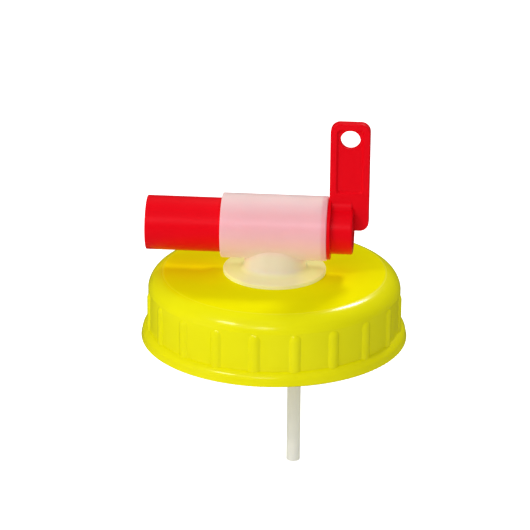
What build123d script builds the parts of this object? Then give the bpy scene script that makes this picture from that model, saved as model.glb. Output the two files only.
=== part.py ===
from build123d import *
import os
from math import sqrt

# A vented outlet tap for a jerrycan, set in a screw cap. All sizes are in millimetres.
# The cap's rim lies in the plane z = 0 and its axis is Z. The barrel lies along X, with the
# lever at its +X end and the mouth of the spout at its -X end. The valve stands closed.

# Screw cap
cap_height = 17.95
cap_top_wall = 2.2
skirt_radius = 33.15
skirt_wall = 2.3
shoulder_width = 4.25
shoulder_height = 4.2
shoulder_radius = 5.0
lead_in = 0.6

# Bead round the foot of the skirt
bead_width = 1.85
bead_side = 1.8
bead_draft = 0.3
bead_height = 3.5
bead_ledge = 0.4
bead_ledge_fall = 0.2
bead_rounding = 2.2
rim_rounding = 0.3

# Grip ribs on the skirt
rib_count = 20
rib_width = 3.0
rib_rise = 0.5
rib_drop = 4.4
rib_foot = 2.6
rib_root = 0.6
first_rib_angle = -4.3

# Boss and hole in the middle of the cap, and the tap's spigot in it
spigot_radius = 9.0
spigot_wall = 1.6
swivel_clearance = 0.08
boss_wall = 3.0
boss_depth = 2.4
snap_rise = 0.7
snap_land = 0.6
snap_lead = 1.2
snap_clearance = 0.1
spigot_tail = 0.3

# Ring seals
seal_width = 2.7
seal_thickness = 1.0
seal_clearance = 0.05
seal_proud = 0.05
gasket_width = 8.6
gasket_thickness = 1.6
gasket_clearance = 0.4

# Flange and neck of the tap's body
flange_radius = 13.45
flange_thickness = 1.0
flange_rounding = 0.3
neck_width = 15.9
neck_depth = 14.4
neck_corner = 7.0
neck_wall = 1.6
neck_fillet = 1.4

# Barrel
axis_above_cap = 12.35
barrel_length = 27.6
barrel_radius = 8.47
barrel_wall = 1.1
barrel_rounding = 0.3
port_floor = 1.4
running_clearance = 0.05

# Two ways through the valve: a wide one for the liquid, a narrow one for the air
liquid_port_radius = 3.4
liquid_port_margin = 0.3
window_margin = 0.1
partition_margin = 0.4
partition_wall = 1.3
air_port_radius = 0.9

# Rotor: spout, core, collar and hub
spout_length = 19.7
spout_relief = 0.22
spout_gap = 0.2
spout_wall = 1.5
spout_rounding = 0.25
snap_ring_inset = 2.3
snap_ring_width = 1.0
snap_ring_rise = 0.25
snap_groove_margin = 0.2
seat_depth = 1.2
seat_rise = 0.4
collar_step = 0.37
collar_width = 0.9
collar_rounding = 0.25
hub_radius = 6.55
hub_length = 5.77
hub_rounding = 0.6
hub_wall = 1.55

# Lever: a plate in the plane of the barrel's axis
lever_gap = 0.32
lever_width = 10.3
lever_foot = 0.1
lever_rise = 29.3
lever_thickness = 2.8
lever_corner = 2.5
lever_heel = 2.4
lever_edge_rounding = 0.35
lever_hole_radius = 2.55
lever_hole_drop = 4.45
lever_hole_inset = 5.16
panel_rim = 1.6
panel_foot = 10.2
panel_depth = 0.55
panel_corner = 1.1
panel_draft = 45
hub_blend = 3.0

# Air tube
tube_inset = 0.1
tube_radius = 1.8
tube_bore_radius = 1.0
tube_length = 55.8
tube_rounding = 0.2
tube_socket_clearance = 0.03
tube_socket_wall = 0.8
tube_stop = 2.0

# Heights and radii that follow from the sizes above
bore_radius = skirt_radius - skirt_wall
bead_radius = skirt_radius + bead_width
rib_top = cap_height - rib_drop
cap_ceiling = cap_height - cap_top_wall
boss_bottom = cap_ceiling - boss_depth
hole_radius = spigot_radius + swivel_clearance
seal_inner_radius = hole_radius + seal_clearance
seal_outer_radius = seal_inner_radius + seal_width
seal_bottom = cap_height + seal_proud - seal_thickness
flange_bottom = cap_height + seal_proud
flange_top = flange_bottom + flange_thickness
snap_top = boss_bottom - snap_clearance
spigot_bottom = snap_top - snap_land - snap_lead - spigot_tail
spigot_cavity_radius = spigot_radius - spigot_wall
neck_cavity_radius = min(neck_width / 2 - neck_wall, neck_depth / 2 - neck_wall, spigot_cavity_radius)
axis_height = cap_height + axis_above_cap
barrel_bore_radius = barrel_radius - barrel_wall
cavity_top = axis_height - barrel_bore_radius - port_floor
tube_x = neck_cavity_radius - tube_inset
tube_seat = cavity_top - tube_stop
core_radius = barrel_bore_radius - running_clearance
spout_radius = core_radius - spout_relief
spout_bore_radius = spout_radius - spout_wall
barrel_end = barrel_length / 2
spout_reach = barrel_end + spout_length
liquid_port_x = liquid_port_radius + liquid_port_margin - neck_cavity_radius
window_radius = liquid_port_radius + window_margin
partition_start = liquid_port_x + window_radius + partition_margin
pocket_start = partition_start + partition_wall
pocket_radius = hub_radius - hub_wall
collar_start = barrel_end + running_clearance
collar_end = collar_start + collar_width
collar_radius = barrel_radius - collar_step
hub_reach = collar_end + hub_length
lever_left = barrel_end + lever_gap
lever_hole_x = lever_left + lever_hole_inset
lever_hole_rise = lever_rise - lever_hole_drop

# How near two places or radii lie when they count as one in a selection of edges
same_place = 0.01

barrel_axis = Axis((0, 0, axis_height), (1, 0, 0))
barrel_section = Plane(origin=(0, 0, axis_height), x_dir=(1, 0, 0), z_dir=(0, -1, 0))

os.makedirs("parts", exist_ok=True)


def edges_at(part, axis, place):
    """Edges of a part whose middle lies at one place along an axis."""
    return part.edges().filter_by_position(axis, place - same_place, place + same_place)


def rims(part, radius, x):
    """Circular edges of one radius round the barrel's axis, at one place along it."""
    circles = edges_at(part, Axis.X, x).filter_by(GeomType.CIRCLE)
    return circles.filter_by(lambda edge: abs(edge.radius - radius) < same_place)


# One grip rib: a round bar whose domed top sinks back into the skirt
rib_bulge = rib_rise + (rib_width / 2) ** 2 / (2 * skirt_radius)
rib_bar_radius = ((rib_width / 2) ** 2 + rib_bulge**2) / (2 * rib_bulge)
rib_bar_x = skirt_radius + rib_rise - rib_bar_radius
with BuildPart() as grip_rib:
    with BuildSketch(Plane.XZ):
        with BuildLine():
            Polyline(
                (rib_bar_x, rib_top - rib_width / 2 + rib_bar_radius),
                (rib_bar_x, rib_foot),
                (rib_bar_x + rib_bar_radius, rib_foot),
                (rib_bar_x + rib_bar_radius, rib_top - rib_width / 2),
            )
            RadiusArc(
                (rib_bar_x + rib_bar_radius, rib_top - rib_width / 2),
                (rib_bar_x, rib_top - rib_width / 2 + rib_bar_radius),
                -rib_bar_radius,
            )
        make_face()
    revolve(axis=Axis((rib_bar_x, 0, 0), (0, 0, 1)))
    with BuildSketch(Plane.YZ.offset(skirt_radius - rib_root)):
        with Locations((0, rib_foot)):
            Rectangle(
                rib_width + 2 * rib_rise,
                cap_height - rib_foot,
                align=(Align.CENTER, Align.MIN),
            )
    extrude(amount=rib_root + 2 * rib_rise, mode=Mode.INTERSECT)

# Screw cap: flat top, arched shoulder, skirt and bead, turned in one section
with BuildPart() as screw_cap:
    with BuildSketch(Plane.XZ):
        with BuildLine():
            rim = Line((bore_radius + lead_in, 0), (bead_radius - rim_rounding, 0))
            rim_arc = RadiusArc(
                rim @ 1, (bead_radius, rim_rounding), -rim_rounding
            )
            bead_wall = Line(rim_arc @ 1, (bead_radius - bead_draft, bead_side))
            bead_arc = RadiusArc(
                bead_wall @ 1,
                (skirt_radius + bead_ledge, bead_height - bead_ledge_fall),
                -bead_rounding,
            )
            ledge = Line(bead_arc @ 1, (skirt_radius, bead_height))
            skirt = Line(ledge @ 1, (skirt_radius, cap_height - shoulder_height))
            shoulder = RadiusArc(
                skirt @ 1,
                (skirt_radius - shoulder_width, cap_height),
                -shoulder_radius,
            )
            Polyline(
                shoulder @ 1,
                (seal_outer_radius + seal_clearance, cap_height),
                (seal_outer_radius + seal_clearance, seal_bottom),
                (hole_radius, seal_bottom),
                (hole_radius, boss_bottom),
                (hole_radius + boss_wall, boss_bottom),
                (hole_radius + boss_wall, cap_ceiling),
                (bore_radius, cap_ceiling),
                (bore_radius, lead_in),
                rim @ 0,
            )
        make_face()
    revolve(axis=Axis.Z)
    with PolarLocations(0, rib_count, start_angle=first_rib_angle):
        add(grip_rib.part)
screw_cap.part.label = "screw_cap"
export_step(screw_cap.part, "parts/screw_cap.step")

# Ring wad that seals on the rim of the container's neck
with BuildPart() as cap_gasket:
    with BuildSketch(Plane.XY.offset(cap_ceiling - gasket_thickness)):
        Circle(bore_radius - gasket_clearance)
        Circle(bore_radius - gasket_clearance - gasket_width, mode=Mode.SUBTRACT)
    extrude(amount=gasket_thickness)
cap_gasket.part.label = "cap_gasket"
export_step(cap_gasket.part, "parts/cap_gasket.step")

# Flat ring between the tap's flange and the recess round the cap's hole
with BuildPart() as body_seal:
    with BuildSketch(Plane.XY.offset(seal_bottom)):
        Circle(seal_outer_radius)
        Circle(seal_inner_radius, mode=Mode.SUBTRACT)
    extrude(amount=seal_thickness)
body_seal.part.label = "body_seal"
export_step(body_seal.part, "parts/body_seal.step")

# Tap body: spigot with snap bead, flange, neck and barrel in one moulding
with BuildPart() as tap_body:
    with BuildSketch(Plane.XZ):
        with BuildLine():
            Polyline(
                (0, spigot_bottom),
                (spigot_radius, spigot_bottom),
                (spigot_radius, spigot_bottom + spigot_tail),
                (spigot_radius + snap_rise, snap_top - snap_land),
                (spigot_radius + snap_rise, snap_top),
                (spigot_radius, snap_top),
                (spigot_radius, flange_bottom),
                (flange_radius, flange_bottom),
                (flange_radius, flange_top),
                (0, flange_top),
                close=True,
            )
        make_face()
    revolve(axis=Axis.Z)
    fillet(
        tap_body.edges().filter_by(GeomType.CIRCLE).group_by(Axis.Z)[-1],
        flange_rounding,
    )
    with BuildSketch(Plane.XY.offset(flange_top)):
        RectangleRounded(neck_width, neck_depth, neck_corner)
    extrude(amount=axis_height - flange_top)
    neck_foot = edges_at(tap_body, Axis.Z, flange_top).sort_by(SortBy.LENGTH)[:-1]
    fillet(neck_foot, neck_fillet)
    with BuildSketch(Plane.YZ.offset(-barrel_end)):
        with Locations((0, axis_height)):
            Circle(barrel_radius)
    extrude(amount=barrel_length)
    fillet(
        rims(tap_body, barrel_radius, -barrel_end)
        + rims(tap_body, barrel_radius, barrel_end),
        barrel_rounding,
    )
    # Hollow inside of the spigot and the neck, up to the floor of the barrel
    with BuildSketch(Plane.XY.offset(spigot_bottom)):
        Circle(spigot_cavity_radius)
    extrude(amount=flange_bottom - spigot_bottom, mode=Mode.SUBTRACT)
    with BuildSketch(Plane.XY.offset(spigot_bottom)):
        Circle(neck_cavity_radius)
    extrude(amount=cavity_top - spigot_bottom, mode=Mode.SUBTRACT)
    # Socket of the air tube, a post down the side of that hollow
    with BuildSketch(Plane.XY.offset(spigot_bottom)):
        with Locations((tube_x, 0)):
            Circle(tube_radius + tube_socket_clearance + tube_socket_wall)
    extrude(amount=cavity_top - spigot_bottom)
    with BuildSketch(Plane.XY.offset(spigot_bottom)):
        with Locations((tube_x, 0)):
            Circle(tube_radius + tube_socket_clearance)
    extrude(amount=tube_seat - spigot_bottom, mode=Mode.SUBTRACT)
    # Bore of the barrel, with the seat at its right end and the groove near its left end
    with BuildSketch(barrel_section):
        with BuildLine():
            groove_left = -barrel_end + snap_ring_inset - snap_ring_width / 2
            groove_right = groove_left + snap_ring_width + snap_groove_margin
            groove_radius = core_radius + snap_ring_rise + snap_groove_margin
            Polyline(
                (-barrel_end, 0),
                (-barrel_end, barrel_bore_radius),
                (groove_left - snap_groove_margin, barrel_bore_radius),
                (groove_left, groove_radius),
                (groove_right, groove_radius),
                (groove_right + snap_groove_margin, barrel_bore_radius),
                (barrel_end - seat_depth, barrel_bore_radius),
                (barrel_end - seat_depth, barrel_bore_radius + seat_rise),
                (barrel_end, barrel_bore_radius + seat_rise),
                (barrel_end, 0),
                close=True,
            )
        make_face()
    revolve(axis=barrel_axis, mode=Mode.SUBTRACT)
    # Liquid port and air port in the floor of the barrel
    with BuildSketch(Plane.XY.offset(cavity_top - port_floor)):
        with Locations((liquid_port_x, 0)):
            Circle(liquid_port_radius)
    extrude(amount=axis_height - cavity_top, mode=Mode.SUBTRACT)
    with BuildSketch(Plane.XY.offset(tube_seat)):
        with Locations((tube_x, 0)):
            Circle(air_port_radius)
    extrude(amount=axis_height - tube_seat, mode=Mode.SUBTRACT)
tap_body.part.label = "tap_body"
export_step(tap_body.part, "parts/tap_body.step")

# The two shallow panels of the lever, with drafted walls, one in each face
with BuildPart() as lever_panels:
    with BuildSketch(barrel_section.offset(lever_thickness / 2)):
        with Locations((lever_left + panel_rim, panel_foot)):
            RectangleRounded(
                lever_width - 2 * panel_rim,
                lever_rise - panel_rim - panel_foot,
                panel_corner,
                align=(Align.MIN, Align.MIN),
            )
    extrude(amount=-panel_depth, taper=panel_draft)
    mirror(about=Plane.XZ)

# Rotor: lever plate, spout, core, collar and hub in one moulding
with BuildPart() as tap_rotor:
    with BuildSketch(barrel_section) as lever_outline:
        with Locations((lever_left, lever_foot)):
            Rectangle(
                lever_width, lever_rise - lever_foot, align=(Align.MIN, Align.MIN)
            )
        fillet(lever_outline.vertices().group_by(Axis.Y)[-1], lever_corner)
        fillet(
            lever_outline.vertices().group_by(Axis.Y)[0].sort_by(Axis.X)[-1], lever_heel
        )
    extrude(amount=lever_thickness / 2, both=True)
    lever_faces = tap_rotor.faces().filter_by(Axis.Y)
    fillet(lever_faces.edges(), lever_edge_rounding)
    # Shallow panels in both faces of the lever, and the hole through them
    add(lever_panels.part, mode=Mode.SUBTRACT)
    with BuildSketch(barrel_section):
        with Locations((lever_hole_x, lever_hole_rise)):
            Circle(lever_hole_radius)
    extrude(amount=lever_thickness, both=True, mode=Mode.SUBTRACT)
    # Spout, core with its snap ring, seat, collar and hub, turned in one section
    with BuildSketch(barrel_section):
        with BuildLine():
            ring_middle = -barrel_end + snap_ring_inset
            spout_line = Polyline(
                (-spout_reach, 0),
                (-spout_reach, spout_radius),
                (-barrel_end - spout_gap, spout_radius),
                (-barrel_end - spout_gap, core_radius),
                (ring_middle - snap_ring_width / 2, core_radius),
            )
            snap_ring = ThreePointArc(
                spout_line @ 1,
                (ring_middle, core_radius + snap_ring_rise),
                (ring_middle + snap_ring_width / 2, core_radius),
            )
            seat_radius = core_radius + seat_rise
            Polyline(
                snap_ring @ 1,
                (barrel_end - seat_depth + running_clearance, core_radius),
                (barrel_end - seat_depth + running_clearance, seat_radius),
                (collar_start, seat_radius),
                (collar_start, collar_radius),
                (collar_end, collar_radius),
                (collar_end, hub_radius),
                (hub_reach, hub_radius),
                (hub_reach, 0),
                spout_line @ 0,
            )
        make_face()
    revolve(axis=barrel_axis)
    # Soft edges round the turned section, and a hollow blend from the hub up into the lever
    fillet(rims(tap_rotor, spout_radius, -spout_reach), spout_rounding)
    fillet(rims(tap_rotor, hub_radius, hub_reach), hub_rounding)
    fillet(rims(tap_rotor, collar_radius, collar_end), collar_rounding)
    blend_y = lever_thickness / 2 + hub_blend
    blend_rise = sqrt((hub_radius + hub_blend) ** 2 - blend_y**2)
    on_hub = hub_radius / (hub_radius + hub_blend)
    with BuildSketch(Plane.YZ.offset(collar_end)):
        with Locations((0, axis_height)):
            Polygon(
                (0, 0),
                (on_hub * blend_y, on_hub * blend_rise),
                (blend_y, blend_rise),
                (0, blend_rise),
                align=None,
            )
        with Locations((blend_y, axis_height + blend_rise)):
            Circle(hub_blend, mode=Mode.SUBTRACT)
        mirror(about=Plane.YZ)
    extrude(amount=hub_length - hub_rounding)
    # Liquid chamber from the mouth of the spout to the partition, and its window
    with BuildSketch(Plane.YZ.offset(-spout_reach)):
        with Locations((0, axis_height)):
            Circle(spout_bore_radius)
    extrude(amount=spout_reach + partition_start, mode=Mode.SUBTRACT)
    with BuildSketch(barrel_section):
        with Locations((liquid_port_x, 0)):
            Circle(window_radius)
    extrude(amount=core_radius, mode=Mode.SUBTRACT)
    # Two D-shaped chambers from the hub's end to the partition, each side of the lever's web
    with BuildSketch(Plane.YZ.offset(pocket_start)):
        with Locations((0, axis_height)):
            Circle(pocket_radius)
            Rectangle(lever_thickness, 2 * hub_radius, mode=Mode.SUBTRACT)
    extrude(amount=hub_reach - pocket_start, mode=Mode.SUBTRACT)
    # Air port out of the front chamber
    with BuildSketch(barrel_section.offset(pocket_radius / 2)):
        with Locations((tube_x, 0)):
            Circle(air_port_radius)
    extrude(amount=core_radius, mode=Mode.SUBTRACT)
tap_rotor.part.label = "tap_rotor"
export_step(tap_rotor.part, "parts/tap_rotor.step")

# Air tube
with BuildPart() as air_tube:
    with BuildSketch(Plane.XY.offset(tube_seat - tube_length)):
        with Locations((tube_x, 0)):
            Circle(tube_radius)
            Circle(tube_bore_radius, mode=Mode.SUBTRACT)
    extrude(amount=tube_length)
    fillet(air_tube.edges().group_by(Axis.Z)[0], tube_rounding)
air_tube.part.label = "air_tube"
export_step(air_tube.part, "parts/air_tube.step")
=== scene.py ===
"""Looks of a vented jerrycan tap: yellow screw cap, milky barrel, red rotor and air tube."""

import logging
import math
from dataclasses import dataclass, field
from enum import Enum
from typing import Sequence

import bpy
from mathutils import Matrix, Vector


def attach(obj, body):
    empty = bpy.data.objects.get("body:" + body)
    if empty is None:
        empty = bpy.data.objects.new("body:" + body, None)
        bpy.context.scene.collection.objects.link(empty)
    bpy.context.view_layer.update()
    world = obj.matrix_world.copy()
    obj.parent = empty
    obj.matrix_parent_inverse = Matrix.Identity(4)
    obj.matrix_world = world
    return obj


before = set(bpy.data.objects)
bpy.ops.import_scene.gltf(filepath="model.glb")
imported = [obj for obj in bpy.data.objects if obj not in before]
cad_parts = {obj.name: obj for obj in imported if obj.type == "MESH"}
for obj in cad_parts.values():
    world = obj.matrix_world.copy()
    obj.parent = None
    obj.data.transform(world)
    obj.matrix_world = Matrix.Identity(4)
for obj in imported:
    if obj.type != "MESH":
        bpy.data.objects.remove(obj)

logging.basicConfig(level=logging.INFO, format="%(message)s")
log = logging.getLogger("jerrycan_tap")

Colour = tuple[float, float, float]
MM = 0.001
BYTE = 255


class Node(Enum):
    """Pieces of the tap that come from the CAD frame."""

    CAP = "screw_cap"
    GASKET = "cap_gasket"
    SEAL = "body_seal"
    BODY = "tap_body"
    ROTOR = "tap_rotor"
    TUBE = "air_tube"


class Blend(Enum):
    """Ways to lay a second colour over a first."""

    COVER = "MIX"
    STAIN = "MULTIPLY"


def linear(red: int, green: int, blue: int) -> Colour:
    """Turn an 8-bit screen colour into a shader's linear values, along the sRGB curve.

    Args:
        red: Red, 0 to 255.
        green: Green, 0 to 255.
        blue: Blue, 0 to 255.

    Returns:
        The three linear values, 0 to 1.
    """
    values = []
    for byte in (red, green, blue):
        share = byte / BYTE
        values.append(share / 12.92 if share <= 0.04045 else ((share + 0.055) / 1.055) ** 2.4)
    return values[0], values[1], values[2]


@dataclass(frozen=True)
class Stop:
    """One colour along a gradient.

    Attributes:
        place: Where it stands, 0 at the low end and 1 at the high end.
        colour: Its linear colour.
    """

    place: float
    colour: Colour


@dataclass(frozen=True)
class Band:
    """Stretch over which one look gives way to another.

    Attributes:
        start: Where the change begins, in metres.
        end: Where it is complete, in metres. It may lie below the start.
    """

    start: float
    end: float


@dataclass(frozen=True)
class Grain:
    """Fine unevenness of a moulded surface.

    Attributes:
        scale: Noise scale, in cycles for each metre.
        detail: Noise detail, in octaves.
        height: Bump height in metres.
        strength: Bump strength, 0 to 1.
    """

    scale: float = 600.0
    detail: float = 3.0
    height: float = 0.04 * MM
    strength: float = 0.25


@dataclass(frozen=True)
class Clouds:
    """Soft clouds in a moulding's colour and gloss.

    Attributes:
        scale: Noise scale, in cycles for each metre.
        detail: Noise detail, in octaves.
        mottle: How far the colour wanders, as a share of it.
        polish: How far the roughness wanders, as a share of it.
    """

    scale: float = 90.0
    detail: float = 2.0
    mottle: float = 0.05
    polish: float = 0.15


@dataclass(frozen=True)
class PlasticFinish:
    """A moulded plastic whose colour changes gently with height.

    Attributes:
        name: Name of the material.
        stops: Colours from the low end to the high end.
        low: Height of the low end, in metres.
        high: Height of the high end, in metres.
        roughness: Roughness of the gloss.
        specular: Strength of the gloss.
        gloss_tint: Colour of the gloss where it is seen face on.
        satin: Heights over which the gloss gives way to satin, if it does.
        satin_roughness: Roughness of the satin.
        satin_specular: Strength of the satin's gloss.
        scatter: Share of light that scatters under the surface.
        scatter_reach: How far it scatters, in metres, for red, green and blue.
        glow: Light that comes through the wall, as a share of the colour.
        clouds: Soft clouds in the colour and the gloss.
        grain: Fine unevenness of the surface.
    """

    name: str
    stops: Sequence[Stop]
    low: float = 0.0
    high: float = 18.0 * MM
    roughness: float = 0.35
    specular: float = 0.5
    gloss_tint: Colour = (1.0, 1.0, 1.0)
    satin: Band | None = None
    satin_roughness: float = 0.5
    satin_specular: float = 0.0
    scatter: float = 0.0
    scatter_reach: Colour = (1.0 * MM, 1.0 * MM, 1.0 * MM)
    glow: float = 0.0
    clouds: Clouds = field(default_factory=Clouds)
    grain: Grain = field(default_factory=Grain)

    def build(self) -> bpy.types.Material:
        """Build the node material.

        Returns:
            The material.
        """
        material = bpy.data.materials.new(self.name)
        material.use_nodes = True
        tree = material.node_tree
        shader = tree.nodes["Principled BSDF"]
        place = tree.nodes.new("ShaderNodeTexCoord").outputs["Object"]
        split = tree.nodes.new("ShaderNodeSeparateXYZ")
        tree.links.new(place, split.inputs["Vector"])
        cloud = self._noise(tree, place, self.clouds.scale, self.clouds.detail)
        self._colour(tree, shader, split, cloud)
        self._gloss(tree, shader, split, cloud)
        self._roughen(tree, shader, place)
        return material

    def _noise(
        self,
        tree: bpy.types.NodeTree,
        place: bpy.types.NodeSocket,
        scale: float,
        detail: float,
    ) -> bpy.types.NodeSocket:
        """Make a noise that stays fixed to the piece.

        Args:
            tree: The material's nodes.
            place: The place on the piece.
            scale: Noise scale, in cycles for each metre.
            detail: Noise detail, in octaves.

        Returns:
            The noise, 0 to 1.
        """
        noise = tree.nodes.new("ShaderNodeTexNoise")
        noise.inputs["Scale"].default_value = scale
        noise.inputs["Detail"].default_value = detail
        tree.links.new(place, noise.inputs["Vector"])
        return noise.outputs["Fac"]

    def _spread(
        self,
        tree: bpy.types.NodeTree,
        cloud: bpy.types.NodeSocket,
        middle: float,
        share: float,
    ) -> bpy.types.NodeSocket:
        """Let a value wander to both sides of its middle.

        Args:
            tree: The material's nodes.
            cloud: The noise that it follows.
            middle: The middle.
            share: How far it wanders, as a share of the middle.

        Returns:
            The value.
        """
        spread = tree.nodes.new("ShaderNodeMapRange")
        spread.inputs["To Min"].default_value = middle * (1.0 - share)
        spread.inputs["To Max"].default_value = middle * (1.0 + share)
        tree.links.new(cloud, spread.inputs["Value"])
        return spread.outputs["Result"]

    def _step(
        self, tree: bpy.types.NodeTree, value: bpy.types.NodeSocket, band: Band
    ) -> bpy.types.Node:
        """Make a node that goes smoothly from 0 to 1 along a band.

        Args:
            tree: The material's nodes.
            value: The value that moves along the band.
            band: The band.

        Returns:
            The node.
        """
        step = tree.nodes.new("ShaderNodeMapRange")
        step.interpolation_type = "SMOOTHSTEP"
        step.inputs["From Min"].default_value = band.start
        step.inputs["From Max"].default_value = band.end
        tree.links.new(value, step.inputs["Value"])
        return step

    def _colour(
        self,
        tree: bpy.types.NodeTree,
        shader: bpy.types.Node,
        split: bpy.types.Node,
        cloud: bpy.types.NodeSocket,
    ) -> None:
        """Give the shader its colour, and the light that comes through the wall.

        Args:
            tree: The material's nodes.
            shader: The shader.
            split: Node that gives the place as X, Y and Z.
            cloud: Noise of the soft clouds.
        """
        height = tree.nodes.new("ShaderNodeMapRange")
        height.inputs["From Min"].default_value = self.low
        height.inputs["From Max"].default_value = self.high
        tree.links.new(split.outputs["Z"], height.inputs["Value"])
        ramp = tree.nodes.new("ShaderNodeValToRGB")
        self._fill(ramp)
        tree.links.new(height.outputs["Result"], ramp.inputs["Fac"])
        tint = tree.nodes.new("ShaderNodeVectorMath")
        tint.operation = "SCALE"
        colour = self._see_through(tree, split, ramp.outputs["Color"])
        shade = self._spread(tree, cloud, 1.0, self.clouds.mottle)
        tree.links.new(colour, tint.inputs["Vector"])
        tree.links.new(shade, tint.inputs["Scale"])
        tree.links.new(tint.outputs["Vector"], shader.inputs["Base Color"])
        if self.glow:
            tree.links.new(tint.outputs["Vector"], shader.inputs["Emission Color"])
        shader.inputs["Emission Strength"].default_value = self.glow
        shader.inputs["Subsurface Weight"].default_value = self.scatter
        shader.inputs["Subsurface Radius"].default_value = self.scatter_reach
        shader.inputs["Subsurface Scale"].default_value = 1.0

    def _fill(self, ramp: bpy.types.ShaderNodeValToRGB) -> None:
        """Put this finish's colours into a ramp node.

        Args:
            ramp: The ramp node.
        """
        elements = ramp.color_ramp.elements
        while len(elements) > 1:
            elements.remove(elements[-1])
        elements[0].position = self.stops[0].place
        elements[0].color = (*self.stops[0].colour, 1.0)
        for stop in self.stops[1:]:
            elements.new(stop.place).color = (*stop.colour, 1.0)

    def _see_through(
        self,
        tree: bpy.types.NodeTree,
        split: bpy.types.Node,
        colour: bpy.types.NodeSocket,
    ) -> bpy.types.NodeSocket:
        """Change the colour where something behind the wall shows. Here nothing does.

        Args:
            tree: The material's nodes; not used here.
            split: Node that gives the place as X, Y and Z; not used here.
            colour: The colour of the wall.

        Returns:
            The colour that is seen.
        """
        return colour

    def _gloss(
        self,
        tree: bpy.types.NodeTree,
        shader: bpy.types.Node,
        split: bpy.types.Node,
        cloud: bpy.types.NodeSocket,
    ) -> None:
        """Give the shader its gloss, and its satin where there is any.

        Args:
            tree: The material's nodes.
            shader: The shader.
            split: Node that gives the place as X, Y and Z.
            cloud: Noise of the soft clouds.
        """
        shader.inputs["Specular Tint"].default_value = (*self.gloss_tint, 1.0)
        polish = self._spread(tree, cloud, self.roughness, self.clouds.polish)
        if self.satin is None:
            tree.links.new(polish, shader.inputs["Roughness"])
            shader.inputs["Specular IOR Level"].default_value = self.specular
            return
        dull = self._step(tree, split.outputs["Z"], self.satin)
        dull.inputs["To Max"].default_value = self.satin_roughness
        tree.links.new(polish, dull.inputs["To Min"])
        tree.links.new(dull.outputs["Result"], shader.inputs["Roughness"])
        faint = self._step(tree, split.outputs["Z"], self.satin)
        faint.inputs["To Min"].default_value = self.specular
        faint.inputs["To Max"].default_value = self.satin_specular
        tree.links.new(faint.outputs["Result"], shader.inputs["Specular IOR Level"])

    def _roughen(
        self,
        tree: bpy.types.NodeTree,
        shader: bpy.types.Node,
        place: bpy.types.NodeSocket,
    ) -> None:
        """Give the surface its fine grain.

        Args:
            tree: The material's nodes.
            shader: The shader.
            place: The place on the piece.
        """
        bump = tree.nodes.new("ShaderNodeBump")
        bump.inputs["Strength"].default_value = self.grain.strength
        bump.inputs["Distance"].default_value = self.grain.height
        skin = self._noise(tree, place, self.grain.scale, self.grain.detail)
        tree.links.new(skin, bump.inputs["Height"])
        tree.links.new(bump.outputs["Normal"], shader.inputs["Normal"])


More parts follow.
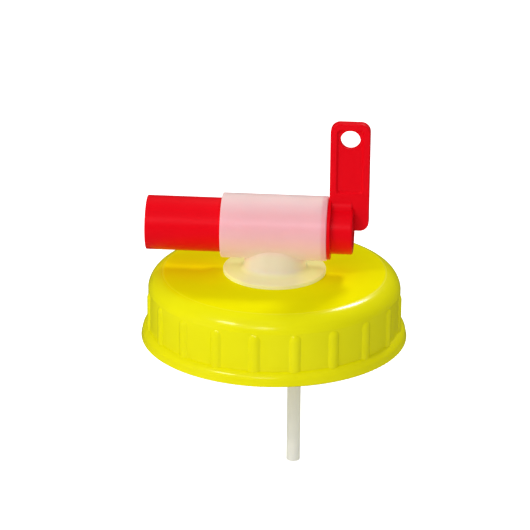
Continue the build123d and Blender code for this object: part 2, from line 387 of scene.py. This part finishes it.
@dataclass(frozen=True)
class MilkyFinish(PlasticFinish):
    """A translucent plastic: the rotor's red core shows through the barrel, not through the neck.

    Attributes:
        axis_height: Height of the barrel's axis.
        barrel_edge: Distances from that axis over which the barrel gives way to the neck.
        neck_colour: Colour of the neck's middle, which nothing red stands behind.
        neck_side_glow_colour: Colour of the neck's left and right sides, lighter and yellower as a
            painted glow where the barrel's shade falls.
        flange_colour: Colour of the flange's front and back, which the cap shows through.
        flange_side_glow_colour: Colour of the flange's left and right ends, lighter as a painted
            glow where the barrel's shade falls.
        flange_edge: Heights over which the flange gives way to the neck.
        side_edge: Distances from the middle over which the sides' painted glow comes in.
        painted_glow: Share of the neck's colour laid low on the barrel's middle, a painted glow
            that stands in for light coming up through the neck.
        painted_glow_height: Heights over which it comes in, on the way down.
        painted_glow_width: Distances from the middle over which it comes in, on the way inwards.
        seat: Places along the barrel over which the core's seat comes close to the wall.
        seat_colour: What the barrel's colour is multiplied by there.
    """

    axis_height: float = 30.3 * MM
    barrel_edge: Band = Band(8.47 * MM, 9.97 * MM)
    neck_colour: Colour = (0.65, 0.572, 0.44)
    neck_side_glow_colour: Colour = (0.79, 0.64, 0.31)
    flange_colour: Colour = (0.66, 0.61, 0.33)
    flange_side_glow_colour: Colour = (0.75, 0.73, 0.31)
    flange_edge: Band = Band(19.0 * MM, 20.4 * MM)
    side_edge: Band = Band(5.0 * MM, 10.5 * MM)
    painted_glow: float = 0.75
    painted_glow_height: Band = Band(28.5 * MM, 23.2 * MM)
    painted_glow_width: Band = Band(10.5 * MM, 2.0 * MM)
    seat: Band = Band(12.0 * MM, 12.9 * MM)
    seat_colour: Colour = (0.97, 0.74, 0.78)

    def _see_through(
        self,
        tree: bpy.types.NodeTree,
        split: bpy.types.Node,
        colour: bpy.types.NodeSocket,
    ) -> bpy.types.NodeSocket:
        """Redden the wall in front of the core's seat, leave the neck milky, and paint glow: a
        paler patch low on the barrel's middle and lighter sides on the neck and flange.

        Args:
            tree: The material's nodes.
            split: Node that gives the place as X, Y and Z.
            colour: The colour of the barrel's wall.

        Returns:
            The colour that is seen.
        """
        height = split.outputs["Z"]
        off_middle = tree.nodes.new("ShaderNodeMath")
        off_middle.operation = "ABSOLUTE"
        tree.links.new(split.outputs["X"], off_middle.inputs[0])
        aside = off_middle.outputs["Value"]
        at_seat = self._step(tree, split.outputs["X"], self.seat)
        wall = self._mix(tree, at_seat, colour, self.seat_colour, Blend.STAIN)
        # Painted glow: a paler patch low on the barrel's middle, in the neck's colour, for light
        # that comes up through the neck.
        sinking = self._step(tree, height, self.painted_glow_height)
        sinking.inputs["To Max"].default_value = self.painted_glow
        nearing = self._step(tree, aside, self.painted_glow_width)
        tree.links.new(sinking.outputs["Result"], nearing.inputs["To Max"])
        barrel = self._mix(tree, nearing, wall, self.neck_colour)
        rising = self._step(tree, height, self.flange_edge)
        middle = self._mix(tree, rising, self.flange_colour, self.neck_colour)
        # Painted glow: the neck's and flange's sides get lighter colours that stand in for light
        # through the wall where the barrel's shade falls.
        sides = self._mix(tree, rising, self.flange_side_glow_colour, self.neck_side_glow_colour)
        foot = self._mix(tree, self._step(tree, aside, self.side_edge), middle, sides)
        outside = self._step(tree, self._off_axis(tree, split), self.barrel_edge)
        return self._mix(tree, outside, barrel, foot)

    def _off_axis(
        self, tree: bpy.types.NodeTree, split: bpy.types.Node
    ) -> bpy.types.NodeSocket:
        """Work out the distance from the barrel's axis.

        Args:
            tree: The material's nodes.
            split: Node that gives the place as X, Y and Z.

        Returns:
            The distance, in metres.
        """
        rise = tree.nodes.new("ShaderNodeMath")
        rise.operation = "SUBTRACT"
        rise.inputs[1].default_value = self.axis_height
        tree.links.new(split.outputs["Z"], rise.inputs[0])
        across = tree.nodes.new("ShaderNodeCombineXYZ")
        tree.links.new(split.outputs["Y"], across.inputs["X"])
        tree.links.new(rise.outputs["Value"], across.inputs["Y"])
        distance = tree.nodes.new("ShaderNodeVectorMath")
        distance.operation = "LENGTH"
        tree.links.new(across.outputs["Vector"], distance.inputs["Vector"])
        return distance.outputs["Value"]

    def _mix(
        self,
        tree: bpy.types.NodeTree,
        share: bpy.types.Node,
        first: bpy.types.NodeSocket | Colour,
        second: bpy.types.NodeSocket | Colour,
        blend: Blend = Blend.COVER,
    ) -> bpy.types.NodeSocket:
        """Lay a second colour over a first.

        Args:
            tree: The material's nodes.
            share: Node whose result says how much of the second colour there is.
            first: The colour below.
            second: The colour above.
            blend: How it is laid over.

        Returns:
            The mixed colour.
        """
        mix = tree.nodes.new("ShaderNodeMix")
        mix.data_type = "RGBA"
        mix.blend_type = blend.value
        tree.links.new(share.outputs["Result"], mix.inputs["Factor"])
        for side, colour in (("A", first), ("B", second)):
            if isinstance(colour, tuple):
                mix.inputs[side].default_value = (*colour, 1.0)
            else:
                tree.links.new(colour, mix.inputs[side])
        return mix.outputs["Result"]


YELLOW = PlasticFinish(
    name="yellow_cap_plastic",
    stops=(Stop(0.0, linear(236, 230, 1)), Stop(1.0, linear(236, 232, 1))),
    roughness=0.2,
    specular=0.35,
    gloss_tint=(1.0, 1.0, 0.9),
    satin=Band(17.76 * MM, 17.96 * MM),
)
RED = PlasticFinish(
    name="red_rotor_plastic",
    stops=(Stop(0.0, linear(235, 0, 18)), Stop(1.0, linear(234, 0, 20))),
    low=20.0 * MM,
    high=60.0 * MM,
    roughness=0.34,
    specular=0.42,
    gloss_tint=(1.0, 0.2, 0.25),
)
MILKY = MilkyFinish(
    name="milky_body_plastic",
    # The barrel's colours by height are partly painted light. The top is paler as a soft painted
    # highlight, and the foot is peach for the yellow light that the cap throws up. The pink between
    # is the red core seen through the wall.
    stops=(
        Stop(0.0, linear(218, 190, 170)),
        Stop(0.15, linear(219, 185, 176)),
        Stop(0.31, linear(220, 177, 174)),
        Stop(0.5, linear(218, 166, 171)),
        Stop(0.69, linear(219, 160, 169)),
        Stop(0.83, linear(217, 164, 169)),
        Stop(0.93, linear(214, 175, 177)),
        Stop(1.0, linear(214, 187, 184)),
    ),
    low=21.83 * MM,
    high=38.77 * MM,
    roughness=0.29,
    specular=0.35,
    scatter=0.3,
    scatter_reach=(2.0 * MM, 1.0 * MM, 0.8 * MM),
    glow=0.3,
)
TUBE = PlasticFinish(
    name="milky_tube_plastic",
    stops=(Stop(0.0, linear(226, 226, 220)), Stop(1.0, linear(226, 222, 196))),
    low=-36.0 * MM,
    high=0.0,
    roughness=0.4,
    glow=0.22,
)
FOAM = PlasticFinish(
    name="white_wad_foam",
    stops=(Stop(0.0, linear(232, 232, 226)), Stop(1.0, linear(236, 236, 230))),
    roughness=0.75,
    grain=Grain(scale=1800.0, height=0.1 * MM, strength=0.5),
)
RUBBER = PlasticFinish(
    name="black_seal_rubber",
    stops=(Stop(0.0, linear(34, 34, 35)), Stop(1.0, linear(44, 44, 45))),
    roughness=0.6,
)


def dress(node: Node, finish: PlasticFinish) -> bpy.types.Material:
    """Give a CAD node one finish all over.

    Args:
        node: The node.
        finish: The finish.

    Returns:
        The finish's material, for pieces that share it.
    """
    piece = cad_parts[node.value]
    material = finish.build()
    piece.data.materials.clear()
    piece.data.materials.append(material)
    log.info("%s: finish %s", node.value, finish.name)
    return material


@dataclass
class CapThread:
    """Helical ridge inside the cap, which screws onto the container's neck.

    Attributes:
        wall_radius: Radius of the wall that the ridge stands on.
        crest_radius: Radius of the ridge's crest.
        sink: How far the ridge's foot goes into the wall.
        foot_width: Width of the ridge at the wall.
        crest_width: Width of the ridge at its crest.
        pitch: Rise in one turn.
        turns: Number of turns.
        start: Height of the ridge's middle at its lower end.
        steps: Facets in one turn.
        run_out: Number of facets over which each end fades into the wall.
        weld: Distance below which two points are one.
        crease: Angle above which an edge stays sharp, in degrees.
    """

    wall_radius: float = 30.85 * MM
    crest_radius: float = 29.35 * MM
    sink: float = 0.15 * MM
    foot_width: float = 2.6 * MM
    crest_width: float = 1.2 * MM
    pitch: float = 4.0 * MM
    turns: int = 2
    start: float = 2.8 * MM
    steps: int = 90
    run_out: int = 6
    weld: float = 0.01 * MM
    crease: float = 30.0

    def build(self, material: bpy.types.Material) -> bpy.types.Object:
        """Model the ridge.

        Args:
            material: The cap's material.

        Returns:
            The ridge.
        """
        ridge = self._section()
        self._wind(ridge)
        self._close_ends(ridge)
        for ring in range(self.run_out):
            self._fade(ridge, ring, ring)
            self._fade(ridge, ring, self.steps * self.turns - ring)
        ridge.data.materials.append(material)
        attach(ridge, "cap")
        log.info("cap_thread: %d turns, pitch %.1f mm", self.turns, self.pitch / MM)
        return ridge

    def _section(self) -> bpy.types.Object:
        """Make the ridge's section, upright in the plane of X and Z.

        Returns:
            The section, as a closed outline with no face.
        """
        bpy.ops.object.select_all(action="DESELECT")
        bpy.ops.mesh.primitive_plane_add(size=1.0)
        ridge = bpy.context.active_object
        ridge.name = "cap_thread"
        foot_radius = self.wall_radius + self.sink
        depth = foot_radius - self.crest_radius
        middle = (foot_radius + self.crest_radius) / 2
        bpy.ops.object.mode_set(mode="EDIT")
        bpy.ops.mesh.delete(type="ONLY_FACE")
        bpy.ops.mesh.select_all(action="SELECT")
        bpy.ops.transform.rotate(
            value=math.radians(90.0), orient_axis="X", center_override=(0.0, 0.0, 0.0)
        )
        bpy.ops.transform.resize(
            value=(depth, 1.0, self.foot_width), center_override=(0.0, 0.0, 0.0)
        )
        bpy.ops.transform.translate(value=(middle, 0.0, self.start))
        bpy.ops.object.mode_set(mode="OBJECT")
        for vertex in ridge.data.vertices:
            vertex.select = vertex.co.x < middle
        bpy.ops.object.mode_set(mode="EDIT")
        bpy.ops.transform.resize(
            value=(1.0, 1.0, self.crest_width / self.foot_width),
            center_override=(0.0, 0.0, self.start),
        )
        bpy.ops.object.mode_set(mode="OBJECT")
        return ridge

    def _wind(self, ridge: bpy.types.Object) -> None:
        """Wind the section up along the helix.

        Args:
            ridge: The ridge.
        """
        screw = ridge.modifiers.new("wind", "SCREW")
        screw.axis = "Z"
        screw.angle = math.tau
        screw.screw_offset = self.pitch
        screw.iterations = self.turns
        screw.steps = self.steps
        screw.render_steps = self.steps
        bpy.ops.object.modifier_apply(modifier=screw.name)

    def _close_ends(self, ridge: bpy.types.Object) -> None:
        """Close both ends and turn the faces outward.

        Args:
            ridge: The ridge; not used, as the operators work on the active object.
        """
        bpy.ops.object.mode_set(mode="EDIT")
        bpy.ops.mesh.select_all(action="SELECT")
        bpy.ops.mesh.remove_doubles(threshold=self.weld)
        bpy.ops.mesh.fill_holes(sides=4)
        bpy.ops.mesh.select_all(action="SELECT")
        bpy.ops.mesh.normals_make_consistent(inside=False)
        bpy.ops.object.mode_set(mode="OBJECT")
        bpy.ops.object.shade_smooth_by_angle(angle=math.radians(self.crease))

    def _fade(self, ridge: bpy.types.Object, nearness: int, ring: int) -> None:
        """Push the crest of one ring back towards the wall.

        Args:
            ridge: The ridge.
            nearness: How many rings lie between this one and its end.
            ring: Number of the ring, from the lower end.
        """
        height = self.start + self.pitch * ring / self.steps
        turned = math.tau * ring / self.steps
        depth = self.wall_radius - self.crest_radius
        push = depth * (1.0 - nearness / self.run_out)
        limit = (self.wall_radius + self.crest_radius) / 2
        for vertex in ridge.data.vertices:
            across = math.hypot(vertex.co.x, vertex.co.y)
            apart = math.remainder(math.atan2(vertex.co.y, vertex.co.x) - turned, math.tau)
            near = abs(apart) < math.pi / self.steps and abs(vertex.co.z - height) < self.pitch / 2
            vertex.select = near and across < limit
        for part in (ridge.data.edges, ridge.data.polygons):
            for item in part:
                item.select = False
        bpy.ops.object.mode_set(mode="EDIT")
        bpy.ops.transform.translate(
            value=(push * math.cos(turned), push * math.sin(turned), 0.0)
        )
        bpy.ops.object.mode_set(mode="OBJECT")


@dataclass
class CapAssembly:
    """Yellow screw cap with its thread, and the two seals that it holds.

    Attributes:
        plastic: Finish of the cap and its thread.
        foam: Finish of the gasket inside the cap.
        rubber: Finish of the seal under the tap's flange.
        thread: The ridge inside the cap.
    """

    plastic: PlasticFinish = YELLOW
    foam: PlasticFinish = FOAM
    rubber: PlasticFinish = RUBBER
    thread: CapThread = field(default_factory=CapThread)

    def build(self) -> None:
        """Dress the pieces and add the thread."""
        material = dress(Node.CAP, self.plastic)
        self.thread.build(material)
        dress(Node.GASKET, self.foam)
        dress(Node.SEAL, self.rubber)


@dataclass
class BodyAssembly:
    """Milky tap body with the air tube that hangs from it.

    Attributes:
        plastic: Finish of the body.
        tube: Finish of the air tube.
    """

    plastic: PlasticFinish = MILKY
    tube: PlasticFinish = TUBE

    def build(self) -> None:
        """Dress both pieces."""
        dress(Node.BODY, self.plastic)
        dress(Node.TUBE, self.tube)


@dataclass
class RotorAssembly:
    """Red rotor: spout, core, hub and lever in one moulding.

    Attributes:
        plastic: Finish of the rotor.
    """

    plastic: PlasticFinish = RED

    def build(self) -> None:
        """Dress the rotor."""
        dress(Node.ROTOR, self.plastic)


@dataclass
class Softbox:
    """A rectangular lamp that points at the object.

    Attributes:
        name: Name of the lamp.
        towards: Direction from the object to the lamp.
        distance: Distance from the object, in metres.
        width: Width of the lamp, in metres.
        power: Power in watts.
        height: Height of the lamp where it isn't square, in metres.
        warmth: How far the light leans from white to orange, 0 to 1.
        mirrored: Whether glossy surfaces mirror the lamp.
        aim: The point that it faces.
    """

    name: str
    towards: tuple[float, float, float]
    distance: float
    width: float
    power: float
    height: float | None = None
    warmth: float = 0.0
    mirrored: bool = True
    aim: tuple[float, float, float] = (0.0, 0.0, 20.0 * MM)

    def build(self) -> bpy.types.Object:
        """Make the lamp and aim it.

        Returns:
            The lamp.
        """
        way = Vector(self.towards).normalized()
        data = bpy.data.lights.new(self.name, "AREA")
        data.shape = "RECTANGLE"
        data.size = self.width
        data.size_y = self.height or self.width
        data.energy = self.power
        data.color = (1.0, 1.0 - self.warmth / 2, 1.0 - self.warmth)
        lamp = bpy.data.objects.new(self.name, data)
        lamp.location = Vector(self.aim) + way * self.distance
        lamp.visible_glossy = self.mirrored
        lamp.rotation_euler = way.to_track_quat("Z", "Y").to_euler()
        bpy.context.scene.collection.objects.link(lamp)
        return lamp


@dataclass
class Studio:
    """Floor, background, lamps and camera.

    Attributes:
        lens: Focal length, in millimetres.
        sensor: Width of the camera's sensor, in millimetres.
        camera_place: Where the camera stands, in metres.
        azimuth: Which way it looks, in degrees from +Y towards -X.
        pitch: How far it looks down, in degrees.
        roll: How far it leans, in degrees.
        nearest: Distance from which the camera sees, in metres.
        floor_height: Height of the floor, in metres.
        floor_size: Side of the floor, in metres.
        floor_white: How white the floor is, 0 to 1.
        floor_dim: How white a glossy surface mirrors it.
        floor_glow: Light that it adds where the camera sees it.
        floor_roughness: Roughness of the floor.
        ambient: Strength of the light from all round.
        mirrored: Strength of that light where a glossy surface mirrors it.
        lamps: The lamps.
    """

    lens: float = 206.63
    sensor: float = 36.0
    camera_place: tuple[float, float, float] = (0.0560, -0.7371, 0.3162)
    azimuth: float = 4.54
    pitch: float = 21.87
    roll: float = 0.52
    nearest: float = 0.01
    floor_height: float = -36.3 * MM
    floor_size: float = 6.0
    floor_white: float = 0.8
    floor_dim: float = 0.03
    floor_glow: float = 0.75
    floor_roughness: float = 0.9
    ambient: float = 0.455
    mirrored: float = 0.02
    lamps: Sequence[Softbox] = (
        Softbox("key_lamp", (0.37, 0.82, 1.0), 0.9, 0.15, 3.1),
        Softbox("top_lamp", (-0.50, -0.60, 1.0), 1.0, 1.0, 1.62, mirrored=False),
        Softbox(
            "left_lamp", (-0.80, -0.50, 0.12), 0.8, 0.5, 0.5, height=0.3, warmth=0.1, mirrored=False
        ),
        Softbox("front_lamp", (-0.08, -0.93, 0.54), 0.9, 0.18, 0.58, height=0.16),
        Softbox("front_fill", (-0.20, -0.93, 0.54), 0.9, 0.4, 0.62, height=0.16, mirrored=False),
        Softbox("streak_lamp", (-0.535, -0.60, 0.60), 0.9, 0.22, 1.8, height=0.05, warmth=0.1),
    )

    def build(self) -> None:
        """Build the whole studio."""
        self._camera()
        self._floor()
        self._world()
        for lamp in self.lamps:
            lamp.build()

    def _camera(self) -> None:
        """Make the camera and make it the scene's own."""
        data = bpy.data.cameras.new("camera")
        data.lens = self.lens
        data.sensor_width = self.sensor
        data.clip_start = self.nearest
        camera = bpy.data.objects.new("camera", data)
        turn = (
            Matrix.Rotation(math.radians(self.azimuth), 4, "Z")
            @ Matrix.Rotation(math.radians(90.0 - self.pitch), 4, "X")
            @ Matrix.Rotation(math.radians(self.roll), 4, "Z")
        )
        camera.matrix_world = Matrix.Translation(self.camera_place) @ turn
        bpy.context.scene.collection.objects.link(camera)
        bpy.context.scene.camera = camera

    def _floor(self) -> None:
        """Make a white floor that still takes the object's shadow."""
        bpy.ops.object.select_all(action="DESELECT")
        bpy.ops.mesh.primitive_plane_add(
            size=self.floor_size, location=(0.0, 0.0, self.floor_height)
        )
        floor = bpy.context.active_object
        floor.name = "floor"
        material = bpy.data.materials.new("white_floor")
        material.use_nodes = True
        tree = material.node_tree
        matt = tree.nodes["Principled BSDF"]
        matt.inputs["Roughness"].default_value = self.floor_roughness
        matt.inputs["Specular IOR Level"].default_value = 0.0
        path = tree.nodes.new("ShaderNodeLightPath")
        white = tree.nodes.new("ShaderNodeMapRange")
        white.inputs["To Min"].default_value = self.floor_white
        white.inputs["To Max"].default_value = self.floor_dim
        tree.links.new(path.outputs["Is Glossy Ray"], white.inputs["Value"])
        tree.links.new(white.outputs["Result"], matt.inputs["Base Color"])
        seen = tree.nodes.new("ShaderNodeMath")
        seen.operation = "MAXIMUM"
        tree.links.new(path.outputs["Is Camera Ray"], seen.inputs[0])
        tree.links.new(path.outputs["Is Transmission Ray"], seen.inputs[1])
        bright = tree.nodes.new("ShaderNodeMath")
        bright.operation = "MULTIPLY"
        bright.inputs[1].default_value = self.floor_glow
        tree.links.new(seen.outputs["Value"], bright.inputs[0])
        glow = tree.nodes.new("ShaderNodeEmission")
        tree.links.new(bright.outputs["Value"], glow.inputs["Strength"])
        both = tree.nodes.new("ShaderNodeAddShader")
        tree.links.new(matt.outputs["BSDF"], both.inputs[0])
        tree.links.new(glow.outputs["Emission"], both.inputs[1])
        tree.links.new(both.outputs["Shader"], tree.nodes["Material Output"].inputs["Surface"])
        floor.data.materials.append(material)

    def _world(self) -> None:
        """Fill the world with even light, and show it as white."""
        world = bpy.data.worlds.new("studio")
        world.use_nodes = True
        tree = world.node_tree
        sky = tree.nodes["Background"]
        sky.inputs["Color"].default_value = (1.0, 1.0, 1.0, 1.0)
        path = tree.nodes.new("ShaderNodeLightPath")
        light = tree.nodes.new("ShaderNodeMapRange")
        light.inputs["To Min"].default_value = self.ambient
        light.inputs["To Max"].default_value = self.mirrored
        tree.links.new(path.outputs["Is Glossy Ray"], light.inputs["Value"])
        strength = tree.nodes.new("ShaderNodeMapRange")
        strength.inputs["To Max"].default_value = 1.0
        tree.links.new(path.outputs["Is Camera Ray"], strength.inputs["Value"])
        tree.links.new(light.outputs["Result"], strength.inputs["To Min"])
        tree.links.new(strength.outputs["Result"], sky.inputs["Strength"])
        bpy.context.scene.world = world


def main() -> None:
    """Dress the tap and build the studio."""
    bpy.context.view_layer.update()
    for assembly in (CapAssembly(), BodyAssembly(), RotorAssembly()):
        assembly.build()
    Studio().build()
    bpy.context.scene.view_settings.view_transform = "Standard"


if __name__ == "__main__":
    main()
